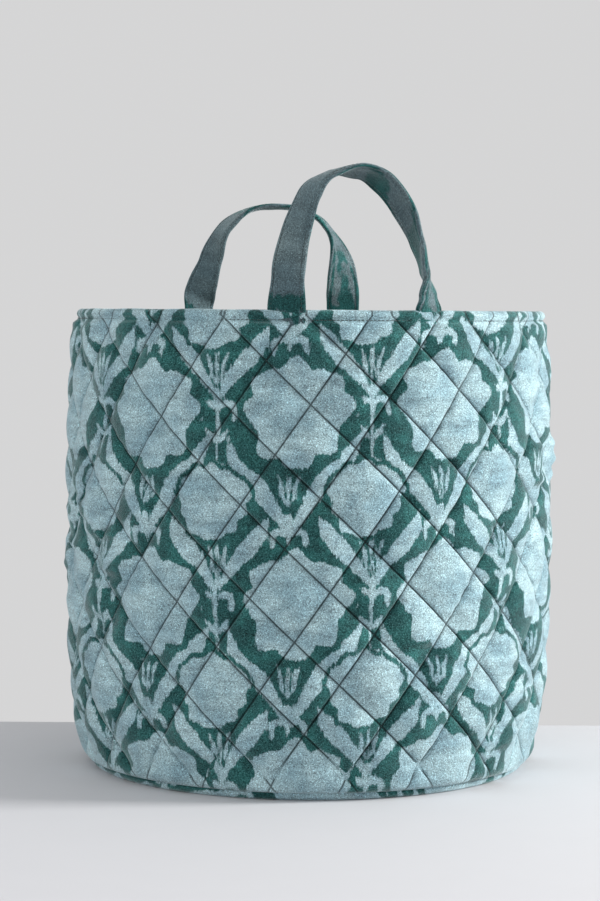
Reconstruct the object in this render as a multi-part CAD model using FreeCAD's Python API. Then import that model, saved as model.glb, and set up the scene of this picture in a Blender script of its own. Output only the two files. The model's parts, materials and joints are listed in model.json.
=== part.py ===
"""Round quilted sewing basket of printed velvet, with two loop handles, as a FreeCAD model.

The basket stands on z = 0 with its axis on Z. The front handle is on the -Y side and the back handle on
the +Y side. Sizes are in millimetres. The wall and the base are sandwiches of face cloth, wadding and
lining that seams join, and each layer, tape, thread and strap is a solid of its own.
"""

import FreeCAD
import Part

import math
import os

Vector = FreeCAD.Vector
Z_AXIS = Vector(0, 0, 1)

# Wall: outer radius at the base seam, the belly and the rim, and their heights
SEAM_RADIUS = 180.0
BELLY_RADIUS = 190.0
RIM_RADIUS = 183.5
SEAM_HEIGHT = 9.0
BELLY_HEIGHT = 215.0
RIM_HEIGHT = 355.0
LOWER_CURVE = 3.4  # power of the wall's curve below the belly: higher keeps it straight for longer
UPPER_CURVE = 2.6  # the same above the belly

# Cloth layers
FACE_THICKNESS = 1.4
WADDING_THICKNESS = 4.5
LINING_THICKNESS = 0.7
FACING_THICKNESS = 1.2
LAYER_GAP = 0.15
FACING_DEPTH = 30.0

# Base
BASE_WADDING_THICKNESS = 4.2
BOARD_THICKNESS = 2.2
BOARD_MARGIN = 4.0  # from the board's edge to the wall's lining
BASE_WADDING_MARGIN = 10.0

# Tapes and threads
BINDING_HEIGHT = 10.0
BINDING_THICKNESS = 2.2
SIDE_TAPE_WIDTH = 12.0
SIDE_TAPE_THICKNESS = 1.4
THREAD_WIDTH = 0.8
THREAD_HEIGHT = 0.4
THREAD_CLEARANCE = 0.1
TOPSTITCH_DROP = 7.5  # from the rim down to the line of stitches
HEM_STITCH_RISE = 4.0  # from the facing's lower edge up to its stitches
BINDING_STITCH_RISE = 6.5  # from the base binding's lower edge up to its stitches
TAPE_STITCH_INSET = 2.0  # from the side tape's edges in to its stitches

# Handle straps
STRAP_WIDTH = 30.0
COVER_THICKNESS = 1.0
CORE_THICKNESS = 1.4
STRAP_CLEARANCE = 0.1
END_DEPTH = 28.0  # how far a strap's end is sewn in below the rim
END_CLEARANCE = 0.3
HINGE_RISE = 10.0  # from the rim up to the line that a handle folds about
FOLD_ANGLE = 120.0  # how far a handle folds each way from upright
FOLD_CLEARANCE = 0.4
KNUCKLE_LENGTH = 2.0
EDGE_STITCH_INSET = 3.2
TWIST_START = 0.10  # shares of the way along the strap between which it turns flat side up
TWIST_END = 0.44

# The two handles: span is between the middles of a strap's ends, and height is from the rim to the top.
# Each half of the arch is a superellipse: power 2 is an ellipse, and more makes a squarer shoulder.
HANDLES = {
    "front": {"side": -1, "span": 104.0, "height": 102.0, "left_power": 2.9, "right_power": 1.8},
    "back": {"side": 1, "span": 124.0, "height": 89.0, "left_power": 2.2, "right_power": 2.9},
}

CURVE_STATIONS = 9
STRAP_STATIONS = 29

STRAP_THICKNESS = 2 * COVER_THICKNESS + CORE_THICKNESS + 2 * STRAP_CLEARANCE
WADDING_INSET = FACE_THICKNESS + LAYER_GAP
LINING_INSET = WADDING_INSET + WADDING_THICKNESS + LAYER_GAP
LINING_BACK = LINING_INSET + LINING_THICKNESS
FACING_INSET = LINING_BACK + LAYER_GAP
FACING_BACK = FACING_INSET + FACING_THICKNESS
TAPE_INSET = LINING_BACK + LAYER_GAP
MID_RADIUS = RIM_RADIUS - FACING_BACK / 2  # where the velvet and the facing meet on top of the rim
END_INSET = (FACE_THICKNESS + LINING_INSET) / 2  # middle of the room between the velvet and the lining
END_RADIUS = RIM_RADIUS - END_INSET
BASE_FLAT_RADIUS = SEAM_RADIUS - SEAM_HEIGHT
BASE_WADDING_BOTTOM = FACE_THICKNESS + LAYER_GAP
BOARD_BOTTOM = BASE_WADDING_BOTTOM + BASE_WADDING_THICKNESS + LAYER_GAP
BASE_LINING_BOTTOM = BOARD_BOTTOM + BOARD_THICKNESS + LAYER_GAP
BINDING_BOTTOM = BASE_LINING_BOTTOM + LINING_THICKNESS + LAYER_GAP
BINDING_TOP = BINDING_BOTTOM + BINDING_HEIGHT
WALL_BOTTOM = SEAM_HEIGHT + LAYER_GAP
FACING_BOTTOM = RIM_HEIGHT - FACING_DEPTH
HINGE_HEIGHT = RIM_HEIGHT + HINGE_RISE
TOPSTITCH_HEIGHT = RIM_HEIGHT - TOPSTITCH_DROP


# ---------------------------------------------------------------- the wall's curve

def wall_radius(z):
    """Outer radius at a height: the belly's, less a power of the distance from it up or down."""
    if z >= BELLY_HEIGHT:
        share = (min(z, RIM_HEIGHT) - BELLY_HEIGHT) / (RIM_HEIGHT - BELLY_HEIGHT)
        return BELLY_RADIUS - (BELLY_RADIUS - RIM_RADIUS) * share**UPPER_CURVE
    share = (BELLY_HEIGHT - z) / (BELLY_HEIGHT - SEAM_HEIGHT)
    return BELLY_RADIUS - (BELLY_RADIUS - SEAM_RADIUS) * share**LOWER_CURVE


def wall_point(inset, z):
    return Vector(wall_radius(z) - inset, 0, z)


def side_edge(inset, z_from, z_to):
    """The wall's curve at a depth in from its outer surface, as one smooth edge."""
    step = (z_to - z_from) / (CURVE_STATIONS - 1)
    curve = Part.BSplineCurve()
    curve.interpolate([wall_point(inset, z_from + i * step) for i in range(CURVE_STATIONS)])
    return curve.toShape()


def line(a, b):
    return Part.makeLine(a, b)


def turned(edges, angle=360.0):
    """The closed outline of these edges, in the XZ plane, turned about Z."""
    return Part.Face(Part.Wire(edges)).revolve(Vector(0, 0, 0), Z_AXIS, angle)


def layer(inset, thickness, z_low, z_high, angle=360.0):
    """One layer of the wall, from its outer surface at the inset, inwards by its thickness."""
    back = inset + thickness
    return turned(
        [
            side_edge(inset, z_low, z_high),
            line(wall_point(inset, z_high), wall_point(back, z_high)),
            side_edge(back, z_high, z_low),
            line(wall_point(back, z_low), wall_point(inset, z_low)),
        ],
        angle,
    )


def ring(r_in, r_out, z_low, z_high):
    """A flat ring, or a disc where the inner radius is 0."""
    disc = Part.makeCylinder(r_out, z_high - z_low, Vector(0, 0, z_low))
    if r_in <= 0:
        return disc
    return disc.cut(Part.makeCylinder(r_in, z_high - z_low, Vector(0, 0, z_low)))


def about_z(shape, degrees):
    copy = shape.copy()
    copy.rotate(Vector(0, 0, 0), Z_AXIS, degrees)
    return copy


def arc_degrees(length, radius):
    return math.degrees(length / radius)


# ---------------------------------------------------------------- where the handles are sewn in

def foot_angles(handle):
    """The angles about Z of a handle's two ends, the one on the -X side first."""
    middle = 90.0 * handle["side"]
    spread = math.degrees(math.asin(handle["span"] / 2 / END_RADIUS)) * handle["side"]
    return middle + spread, middle - spread


def hinge_offset(handle):
    """Distance from the basket's axis to the straight line through a handle's two ends."""
    return math.sqrt(END_RADIUS**2 - (handle["span"] / 2) ** 2)


def end_blank(angle, grow=0.0):
    """A strap's end inside the rim, following the wall and rising straight up out of it."""
    half = STRAP_THICKNESS / 2 + grow
    z_low = RIM_HEIGHT - END_DEPTH - grow
    out_low, out_rim = wall_point(END_INSET - half, z_low), wall_point(END_INSET - half, RIM_HEIGHT)
    in_low, in_rim = wall_point(END_INSET + half, z_low), wall_point(END_INSET + half, RIM_HEIGHT)
    out_top, in_top = Vector(out_rim.x, 0, HINGE_HEIGHT), Vector(in_rim.x, 0, HINGE_HEIGHT)
    sweep = arc_degrees(STRAP_WIDTH + 2 * grow, END_RADIUS)
    blank = turned(
        [
            side_edge(END_INSET - half, z_low, RIM_HEIGHT),
            line(out_rim, out_top),
            line(out_top, in_top),
            line(in_top, in_rim),
            side_edge(END_INSET + half, RIM_HEIGHT, z_low),
            line(in_low, out_low),
        ],
        sweep,
    )
    return about_z(blank, angle - sweep / 2)


def fold_free_space(handle):
    """A prism along X, under the fold line, that the handle never swings through.

    Its roof slopes down to each side, and the folded strap lies along a slope with a clearance.
    """
    reach = STRAP_THICKNESS / 2 + THREAD_CLEARANCE + THREAD_HEIGHT + FOLD_CLEARANCE
    slope = math.radians(180 - FOLD_ANGLE)
    y_mid, x_half = handle["side"] * hinge_offset(handle), handle["span"] / 2 + STRAP_WIDTH
    z_ridge = HINGE_HEIGHT - reach / math.sin(slope)
    z_eave, z_low = z_ridge - STRAP_WIDTH / math.tan(slope), RIM_HEIGHT - 2 * END_DEPTH
    outline = [
        Vector(-x_half, y_mid, z_ridge),
        Vector(-x_half, y_mid + STRAP_WIDTH, z_eave),
        Vector(-x_half, y_mid + STRAP_WIDTH, z_low),
        Vector(-x_half, y_mid - STRAP_WIDTH, z_low),
        Vector(-x_half, y_mid - STRAP_WIDTH, z_eave),
    ]
    return Part.Face(Part.makePolygon(outline + outline[:1])).extrude(Vector(2 * x_half, 0, 0))


def sewn_end(handle, angle):
    """A strap's end with its stub above the rim cut back to a ridge, clear of the folding handle."""
    return end_blank(angle).common(fold_free_space(handle))


def without_ends(shape):
    """The shape with room for every sewn-in strap end."""
    for handle in HANDLES.values():
        for angle in foot_angles(handle):
            shape = shape.cut(end_blank(angle, END_CLEARANCE))
    return shape


# ---------------------------------------------------------------- wall pieces

def stitch_ring(z, inset, grow=0.0):
    """A ring of thread at a height, its middle at a depth in from the wall's outer surface."""
    middle = wall_radius(z) - inset
    half_height, half_width = THREAD_HEIGHT / 2 + grow, THREAD_WIDTH / 2 + grow
    return ring(middle - half_height, middle + half_height, z - half_width, z + half_width)


def thread_over(back, z):
    """Depth of the middle of a thread at a height, over a layer whose inner side is at a depth.

    Where the wall leans, the thread clears the layer at its upper and lower edges too.
    """
    half = THREAD_WIDTH / 2
    lean = wall_radius(z) - min(wall_radius(z - half), wall_radius(z + half))
    return back + THREAD_CLEARANCE + THREAD_HEIGHT / 2 + lean


def wall_face():
    """The quilted velvet, turned over the rim to its middle, with a groove for the topstitching."""
    band = layer(0, FACE_THICKNESS, WALL_BOTTOM, RIM_HEIGHT)
    fold = ring(MID_RADIUS + LAYER_GAP / 2, RIM_RADIUS, RIM_HEIGHT - FACE_THICKNESS, RIM_HEIGHT)
    groove = stitch_ring(TOPSTITCH_HEIGHT, 0, THREAD_CLEARANCE)
    return without_ends(band.fuse(fold)).cut(groove).removeSplitter()


def rim_facing():
    """The band inside the rim that meets the velvet at the middle of the wall and hides the ends."""
    band = layer(FACING_INSET, FACING_THICKNESS, FACING_BOTTOM, RIM_HEIGHT)
    inner, outer = RIM_RADIUS - FACING_BACK, MID_RADIUS - LAYER_GAP / 2
    fold = ring(inner, outer, RIM_HEIGHT - FACE_THICKNESS, RIM_HEIGHT)
    groove = stitch_ring(TOPSTITCH_HEIGHT, FACING_BACK, THREAD_CLEARANCE)
    return without_ends(band.fuse(fold)).cut(groove).removeSplitter()


def wall_wadding():
    """The wadding, cut away over its whole thickness where a strap's end is sewn in."""
    wadding = layer(WADDING_INSET, WADDING_THICKNESS, WALL_BOTTOM, RIM_HEIGHT - WADDING_INSET)
    z_notch = RIM_HEIGHT - END_DEPTH - END_CLEARANCE
    sweep = arc_degrees(STRAP_WIDTH + 2 * END_CLEARANCE, END_RADIUS)
    notch = layer(FACE_THICKNESS, LINING_INSET - FACE_THICKNESS, z_notch, RIM_HEIGHT, sweep)
    for handle in HANDLES.values():
        for angle in foot_angles(handle):
            wadding = wadding.cut(about_z(notch, angle - sweep / 2))
    return wadding


def wall_lining():
    return layer(LINING_INSET, LINING_THICKNESS, WALL_BOTTOM, RIM_HEIGHT - WADDING_INSET)


def rim_topstitch():
    """The top thread round the outside and the bobbin thread round the inside."""
    return Part.Compound([stitch_ring(TOPSTITCH_HEIGHT, inset) for inset in (0, FACING_BACK)])


def facing_hem_stitching():
    """The stitches that hold the facing's lower edge down on the lining."""
    z = FACING_BOTTOM + HEM_STITCH_RISE
    return stitch_ring(z, thread_over(FACING_BACK, z))


def side_strip(inset, thickness, width, offset):
    """An upright strip inside the back of the basket, its middle offset along the wall."""
    sweep = arc_degrees(width, SEAM_RADIUS)
    strip = layer(inset, thickness, BINDING_TOP + LAYER_GAP, FACING_BOTTOM - LAYER_GAP, sweep)
    return about_z(strip, 90 - sweep / 2 + arc_degrees(offset, SEAM_RADIUS))


def side_seam_tape():
    """The tape over the wall's upright seam."""
    return side_strip(TAPE_INSET, SIDE_TAPE_THICKNESS, SIDE_TAPE_WIDTH, 0)


def side_seam_stitching():
    """A row of stitches down each edge of the side seam's tape."""
    inset = TAPE_INSET + SIDE_TAPE_THICKNESS + THREAD_CLEARANCE
    offset = SIDE_TAPE_WIDTH / 2 - TAPE_STITCH_INSET
    return Part.Compound(
        [side_strip(inset, THREAD_HEIGHT, THREAD_WIDTH, side * offset) for side in (-1, 1)]
    )


# ---------------------------------------------------------------- base pieces

def base_face():
    """The base's face cloth: flat, with a quarter-round edge that turns up to meet the wall."""
    outer, inner = SEAM_HEIGHT, SEAM_HEIGHT - FACE_THICKNESS
    slant = math.sqrt(0.5)

    def on_edge(radius, across, down):
        return Vector(BASE_FLAT_RADIUS + radius * across, 0, SEAM_HEIGHT - radius * down)

    outer_arc = Part.Arc(on_edge(outer, 0, 1), on_edge(outer, slant, slant), on_edge(outer, 1, 0))
    inner_arc = Part.Arc(on_edge(inner, 1, 0), on_edge(inner, slant, slant), on_edge(inner, 0, 1))
    centre_low, centre_high = Vector(0, 0, 0), Vector(0, 0, FACE_THICKNESS)
    return turned(
        [
            line(centre_low, on_edge(outer, 0, 1)),
            outer_arc.toShape(),
            line(on_edge(outer, 1, 0), on_edge(inner, 1, 0)),
            inner_arc.toShape(),
            line(on_edge(inner, 0, 1), centre_high),
            line(centre_high, centre_low),
        ]
    )


def base_wadding():
    radius = SEAM_RADIUS - BASE_WADDING_MARGIN
    return ring(0, radius, BASE_WADDING_BOTTOM, BASE_WADDING_BOTTOM + BASE_WADDING_THICKNESS)


def lining_radius():
    """Inner radius of the wall's lining just above the base."""
    return wall_radius(WALL_BOTTOM) - LINING_BACK


def base_board():
    return ring(0, lining_radius() - BOARD_MARGIN, BOARD_BOTTOM, BOARD_BOTTOM + BOARD_THICKNESS)


def base_lining():
    top = BASE_LINING_BOTTOM + LINING_THICKNESS
    return ring(0, lining_radius() - LAYER_GAP, BASE_LINING_BOTTOM, top)


def base_seam_binding():
    """The tape over the seam between wall and base, standing up inside the corner."""
    return layer(TAPE_INSET, BINDING_THICKNESS, BINDING_BOTTOM, BINDING_TOP)


def base_binding_stitching():
    z = BINDING_BOTTOM + BINDING_STITCH_RISE
    return stitch_ring(z, thread_over(TAPE_INSET + BINDING_THICKNESS, z))


# ---------------------------------------------------------------- handle pieces

def arch_rise(handle):
    """From the fold line up to the strap's centreline at the top of the arch."""
    return handle["height"] - HINGE_RISE - STRAP_THICKNESS / 2


def arch_point(handle, turn):
    """A point on the strap's centreline, where turn goes from 0 at the -X end to pi at the +X end."""
    power = handle["left_power"] if turn < math.pi / 2 else handle["right_power"]
    x = -math.copysign(abs(math.cos(turn)) ** (2 / power), math.cos(turn)) * handle["span"] / 2
    z = abs(math.sin(turn)) ** (2 / power) * arch_rise(handle)
    return Vector(x, handle["side"] * hinge_offset(handle), HINGE_HEIGHT + z)


def strap_turns(handle, gap):
    """Turns along the arch, from a gap above the fold line at one end to the same at the other."""
    share = gap / arch_rise(handle)
    first = math.asin(share ** (handle["left_power"] / 2))
    last = math.pi - math.asin(share ** (handle["right_power"] / 2))
    return [first + (last - first) * i / (STRAP_STATIONS - 1) for i in range(STRAP_STATIONS)]


def smooth(share):
    share = min(max(share, 0.0), 1.0)
    return share * share * (3 - 2 * share)


def section(handle, turn, along, across_shift, out_shift, width, thickness):
    """A rectangle across the strap, shifted along its width and off its face.

    It is flat to the wall near the strap's ends, and turned a quarter by the top of the arch.
    """
    outward = Vector(0, handle["side"], 0)
    across = along.cross(outward).normalize()
    share = min(turn, math.pi - turn) / math.pi
    twist = math.pi / 2 * smooth((share - TWIST_START) / (TWIST_END - TWIST_START))
    width_dir = across * math.cos(twist) + outward * math.sin(twist)
    face_dir = along.cross(width_dir).normalize()
    middle = arch_point(handle, turn) + width_dir * across_shift + face_dir * out_shift
    a, b = width_dir * (width / 2), face_dir * (thickness / 2)
    corners = [middle - a - b, middle + a - b, middle + a + b, middle - a + b]
    return Part.makePolygon(corners + corners[:1])


def ribbon(handle, gap, width, thickness, across_shift=0.0, out_shift=0.0):
    """A solid that follows the strap from end to end, with level ends."""
    turns = strap_turns(handle, gap)
    points = [arch_point(handle, turn) for turn in turns]
    directions = [(b - a).normalize() for a, b in zip(points[:-2], points[2:])]
    directions = [Z_AXIS] + directions + [-Z_AXIS]
    wires = [
        section(handle, turn, along, across_shift, out_shift, width, thickness)
        for turn, along in zip(turns, directions)
    ]
    return Part.makeLoft(wires, True, True)


def knuckle(handle, turn):
    """A strap's end at the fold line: flat above the line and half round below it."""
    half = STRAP_THICKNESS / 2
    profile = [
        Part.Arc(Vector(0, half, 0), Vector(0, 0, -half), Vector(0, -half, 0)).toShape(),
        line(Vector(0, -half, 0), Vector(0, -half, KNUCKLE_LENGTH)),
        line(Vector(0, -half, KNUCKLE_LENGTH), Vector(0, half, KNUCKLE_LENGTH)),
        line(Vector(0, half, KNUCKLE_LENGTH), Vector(0, half, 0)),
    ]
    block = Part.Face(Part.Wire(profile)).extrude(Vector(STRAP_WIDTH, 0, 0))
    block.translate(arch_point(handle, turn) - Vector(STRAP_WIDTH / 2, 0, 0))
    return block


def handle_cover(handle):
    """The velvet tube round the core, closed at each end by the knuckle that it folds about."""
    outer = ribbon(handle, KNUCKLE_LENGTH, STRAP_WIDTH, STRAP_THICKNESS)
    width = STRAP_WIDTH - 2 * COVER_THICKNESS
    cavity = ribbon(handle, KNUCKLE_LENGTH, width, STRAP_THICKNESS - 2 * COVER_THICKNESS)
    return outer.cut(cavity).fuse([knuckle(handle, 0), knuckle(handle, math.pi)])


def handle_core(handle):
    """The webbing inside the cover."""
    width = STRAP_WIDTH - 2 * COVER_THICKNESS - 2 * STRAP_CLEARANCE
    return ribbon(handle, KNUCKLE_LENGTH + STRAP_CLEARANCE, width, CORE_THICKNESS)


def handle_stitching(handle):
    """Two rows of edge stitching on each face of the strap, one thread to a row."""
    across = STRAP_WIDTH / 2 - EDGE_STITCH_INSET
    out = (STRAP_THICKNESS + THREAD_HEIGHT) / 2 + THREAD_CLEARANCE
    return Part.Compound(
        [
            ribbon(handle, KNUCKLE_LENGTH, THREAD_WIDTH, THREAD_HEIGHT, across * a, out * b)
            for a in (-1, 1)
            for b in (-1, 1)
        ]
    )


# ---------------------------------------------------------------- export

def all_parts():
    """Every node's name and shape."""
    parts = {
        "wall_face": wall_face(),
        "wall_wadding": wall_wadding(),
        "wall_lining": wall_lining(),
        "rim_facing": rim_facing(),
        "rim_topstitch": rim_topstitch(),
        "facing_hem_stitching": facing_hem_stitching(),
        "side_seam_tape": side_seam_tape(),
        "side_seam_stitching": side_seam_stitching(),
        "base_face": base_face(),
        "base_wadding": base_wadding(),
        "base_board": base_board(),
        "base_lining": base_lining(),
        "base_seam_binding": base_seam_binding(),
        "base_binding_stitching": base_binding_stitching(),
    }
    for name, handle in HANDLES.items():
        left, right = foot_angles(handle)
        parts[f"{name}_handle_left_end"] = sewn_end(handle, left)
        parts[f"{name}_handle_right_end"] = sewn_end(handle, right)
        parts[f"{name}_handle_cover"] = handle_cover(handle)
        parts[f"{name}_handle_core"] = handle_core(handle)
        parts[f"{name}_handle_stitching"] = handle_stitching(handle)
    return parts


def main():
    os.makedirs("parts", exist_ok=True)
    for name, shape in all_parts().items():
        print(name, shape.isValid(), len(shape.Solids), round(shape.Volume, 1))
        shape.exportStep(f"parts/{name}.step")


main()
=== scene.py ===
"""A round sewing basket of quilted, printed velvet with two strap handles, built around its CAD frame.

The file is laid out as an add-on: property groups hold the sizes and colours, one operator makes each
group of pieces, and a panel lists them. Lengths are in metres, except that the cloth's own coordinates,
along the cloth and up it, are in millimetres.
"""

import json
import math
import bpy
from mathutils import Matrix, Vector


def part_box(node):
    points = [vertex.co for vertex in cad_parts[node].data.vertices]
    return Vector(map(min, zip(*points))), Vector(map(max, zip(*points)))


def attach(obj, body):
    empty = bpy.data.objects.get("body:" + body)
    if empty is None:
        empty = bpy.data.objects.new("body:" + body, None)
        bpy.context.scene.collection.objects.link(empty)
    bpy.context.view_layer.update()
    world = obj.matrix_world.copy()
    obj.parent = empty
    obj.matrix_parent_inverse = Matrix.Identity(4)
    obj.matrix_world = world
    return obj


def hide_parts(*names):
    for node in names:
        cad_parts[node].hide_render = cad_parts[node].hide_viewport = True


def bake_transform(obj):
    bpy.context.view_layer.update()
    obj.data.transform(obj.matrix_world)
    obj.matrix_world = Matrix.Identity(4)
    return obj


bl_info = {
    "name": "Quilted Sewing Basket",
    "version": (1, 0, 0),
    "blender": (4, 5, 0),
    "location": "View3D > Sidebar > Basket",
    "description": "Builds a quilted velvet sewing basket with two strap handles",
    "category": "Object",
}

import bpy
import numpy as np
from bpy.props import FloatProperty, FloatVectorProperty, PointerProperty
from mathutils import Matrix, Vector

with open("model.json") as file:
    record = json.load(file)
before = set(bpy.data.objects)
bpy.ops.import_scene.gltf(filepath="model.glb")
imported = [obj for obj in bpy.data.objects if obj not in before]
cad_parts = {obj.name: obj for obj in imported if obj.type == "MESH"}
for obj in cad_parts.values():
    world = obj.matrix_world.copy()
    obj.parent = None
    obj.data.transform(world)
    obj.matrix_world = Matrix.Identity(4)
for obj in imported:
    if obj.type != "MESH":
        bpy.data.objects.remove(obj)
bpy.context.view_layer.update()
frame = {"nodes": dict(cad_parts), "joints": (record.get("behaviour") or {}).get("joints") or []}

MM = 0.001
TAU = 2 * math.pi

# ---------------------------------------------------------------- the frame's own sizes, in millimetres


def box_mm(node):
    low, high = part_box(node)
    return np.array(low) / MM, np.array(high) / MM


SEAM_RADIUS = box_mm("base_face")[1][0]
SEAM_HEIGHT = box_mm("base_face")[1][2]
BELLY_RADIUS = box_mm("wall_face")[1][0]
RIM_HEIGHT = box_mm("wall_face")[1][2]
BELLY_HEIGHT = 215.0
LOWER_CURVE = 3.4
UPPER_CURVE = 2.6
TOPSTITCH_LOW, TOPSTITCH_HIGH = box_mm("rim_topstitch")
TOPSTITCH_HEIGHT = (TOPSTITCH_LOW[2] + TOPSTITCH_HIGH[2]) / 2
TOPSTITCH_SHARE = (TOPSTITCH_HEIGHT - BELLY_HEIGHT) / (RIM_HEIGHT - BELLY_HEIGHT)
RIM_DROP = (BELLY_RADIUS - TOPSTITCH_HIGH[0] + 0.2) / TOPSTITCH_SHARE**UPPER_CURVE
RIM_RADIUS = BELLY_RADIUS - RIM_DROP
FACING_BOTTOM = box_mm("rim_facing")[0][2]
BASE_LINING_TOP = box_mm("base_lining")[1][2]
BASE_LINING_RADIUS = box_mm("base_lining")[1][0]
BINDING_LOW, BINDING_HIGH = box_mm("base_seam_binding")
TAPE_LOW, TAPE_HIGH = box_mm("side_seam_tape")
WALL_THICKNESS = 8.2
LINING_INSET = 8.0  # from the wall's outer size to the lining
FAR_FROM_STITCH = 9.0  # what a cloth's layer says where no stitch is near

JOINTS = {joint["name"]: joint for joint in frame["joints"]}

# Each strap: its side of the basket, the powers of its arch's left and right halves, and keys along it
# from its left end to its right for its twist in degrees, its width and its sway in millimetres. Its
# cloth is cut from the print at the last pair of cloth coordinates.
STRAP_UNDER = 12.0  # how far a strap's ends go down inside the wall
HANDLES = {
    "front": {
        "side": -1,
        "powers": (2.8, 1.8),
        "twist": [(0, 4), (0.1, 34), (0.22, 50), (0.34, 64), (0.43, 86), (0.52, 108), (0.6, 119),
                  (0.68, 117), (0.8, 98), (0.885, 84), (0.96, 30), (1, 6)],
        "width": [(0, 1.0), (0.1, 0.97), (0.4, 0.97), (0.8, 0.92), (0.89, 0.62), (1, 0.80)],
        "sway": [(0, 0), (0.2, 3.0), (0.35, 1.0), (0.5, 0), (1, 0)],
        "cloth": (-20.7, 236.7),
    },
    "back": {
        "side": 1,
        "powers": (2.2, 2.9),
        "twist": [(0, 0), (0.08, 36), (0.18, 54), (0.3, 74), (0.42, 90), (0.58, 90), (0.7, 74), (0.9, 14),
                  (1, 0)],
        "width": [(0, 0.96), (0.5, 0.95), (1, 1.0)],
        "sway": [(0, 0), (0.14, 5.0), (0.3, 1.5), (0.45, 0), (1, 0)],
        "cloth": (12.0, 196.0),
    },
}


# ---------------------------------------------------------------- settings


def length(name, description, default):
    return FloatProperty(name=name, description=description, default=default, unit="LENGTH")


def tint(name, description, default):
    return FloatVectorProperty(
        name=name, description=description, default=default, subtype="COLOR", size=3, min=0, max=1)


class BasketSizes(bpy.types.PropertyGroup):
    quilt_rise: length("Quilt puff", "Height of a quilted puff over its stitches", 6.2 * MM)
    stitch_depth: length("Stitch depth", "Depth of the stitch lines under the wall's outer size", 5.4 * MM)
    rim_round: length("Rim roundness", "Radius of the rim's rounded edge", 3.9 * MM)
    strap_width: length("Strap width", "Width of a handle's strap", 28 * MM)
    strap_thickness: length("Strap thickness", "Thickness of a handle's strap", 4.0 * MM)
    stitch_length: length("Stitch length", "Length of a machine stitch", 3.0 * MM)


class BasketColours(bpy.types.PropertyGroup):
    figure: tint("Figure", "Pale teal of the print's figures", (0.365, 0.510, 0.545))
    figure_shade: tint("Figure shade", "Deeper teal in patches of the figures", (0.210, 0.330, 0.380))
    ground: tint("Ground", "Deep green of the print's ground", (0.009, 0.058, 0.058))
    ground_light: tint("Ground light", "Lighter green in patches of the ground", (0.024, 0.125, 0.118))
    lining: tint("Lining", "Colour of the cotton lining", (0.16, 0.23, 0.22))
    tape: tint("Tape", "Colour of the seam tapes", (0.07, 0.12, 0.115))
    thread: tint("Thread", "Colour of the sewing thread", (0.020, 0.040, 0.042))


class BasketStage(bpy.types.PropertyGroup):
    camera_distance: length("Camera distance", "From the basket's axis to the camera", 1.9)
    camera_turn: FloatProperty(
        name="Camera turn", description="Angle of the camera round the basket from straight in front",
        default=math.radians(-11.5), subtype="ANGLE")
    camera_lens: FloatProperty(
        name="Lens", description="Focal length for a 36 mm tall sensor", default=96.5, unit="CAMERA")


# ---------------------------------------------------------------- mesh helpers


def fade(share):
    """A smooth step from 0 to 1: three times the square less twice the cube."""
    share = np.clip(share, 0.0, 1.0)
    return share * share * (3 - 2 * share)


def hashed(x, y, seed):
    """A steady random number from 0 to 1 for each pair of whole numbers."""
    value = np.sin(x * 127.1 + y * 311.7 + seed * 74.7) * 43758.5453
    return value - np.floor(value)


def soft_noise(x, y, seed):
    """Random values from -1 to 1 on a unit grid, faded smoothly from each grid point to the next."""
    column, row = np.floor(x), np.floor(y)
    across, up = fade(x - column), fade(y - row)
    low = hashed(column, row, seed) * (1 - across) + hashed(column + 1, row, seed) * across
    high = hashed(column, row + 1, seed) * (1 - across) + hashed(column + 1, row + 1, seed) * across
    return 2 * (low * (1 - up) + high * up) - 1


def along_keys(keys, share):
    """A smooth value along a list of (share, value) keys, faded from each key to the next."""
    shares, values = np.array(keys, dtype=float).T
    index = np.clip(np.searchsorted(shares, share, side="right") - 1, 0, len(shares) - 2)
    part = (share - shares[index]) / (shares[index + 1] - shares[index])
    return values[index] + (values[index + 1] - values[index]) * fade(part)


def unit(vectors):
    return vectors / np.linalg.norm(vectors, axis=-1, keepdims=True)


def about_axis(radius, turn, z):
    """Points at a radius and an angle about the basket's axis, and a height."""
    return np.stack([radius * np.cos(turn), radius * np.sin(turn), z + 0 * radius + 0 * turn], axis=-1)


def make_piece(name, points, corners, corner_uv=None):
    """A mesh object from points in millimetres, faces as rows of point numbers, and UV layers.

    corner_uv maps a layer's name to one (u, v) pair for each face corner, in the faces' order.
    """
    mesh = bpy.data.meshes.new(name)
    mesh.from_pydata((np.asarray(points) * MM).reshape(-1, 3).tolist(), [], np.asarray(corners).tolist())
    for layer, pairs in (corner_uv or {}).items():
        mesh.uv_layers.new(name=layer).data.foreach_set("uv", np.asarray(pairs, dtype=np.float32).ravel())
    mesh.polygons.foreach_set("use_smooth", np.ones(len(mesh.polygons), dtype=bool))
    mesh.update()
    piece = bpy.data.objects.new(name, mesh)
    bpy.context.scene.collection.objects.link(piece)
    return piece


def grid_cells(rows, columns, wrap_rows=False):
    """Row and column numbers of every cell's four corners, anticlockwise where columns run right."""
    row, column = np.meshgrid(np.arange(rows if wrap_rows else rows - 1), np.arange(columns), indexing="ij")
    row, column = row.ravel(), column.ravel()
    cell_rows = np.stack([row, row, row + 1, row + 1], axis=1)
    cell_columns = np.stack([column, column + 1, column + 1, column], axis=1)
    return cell_rows, cell_columns


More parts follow.
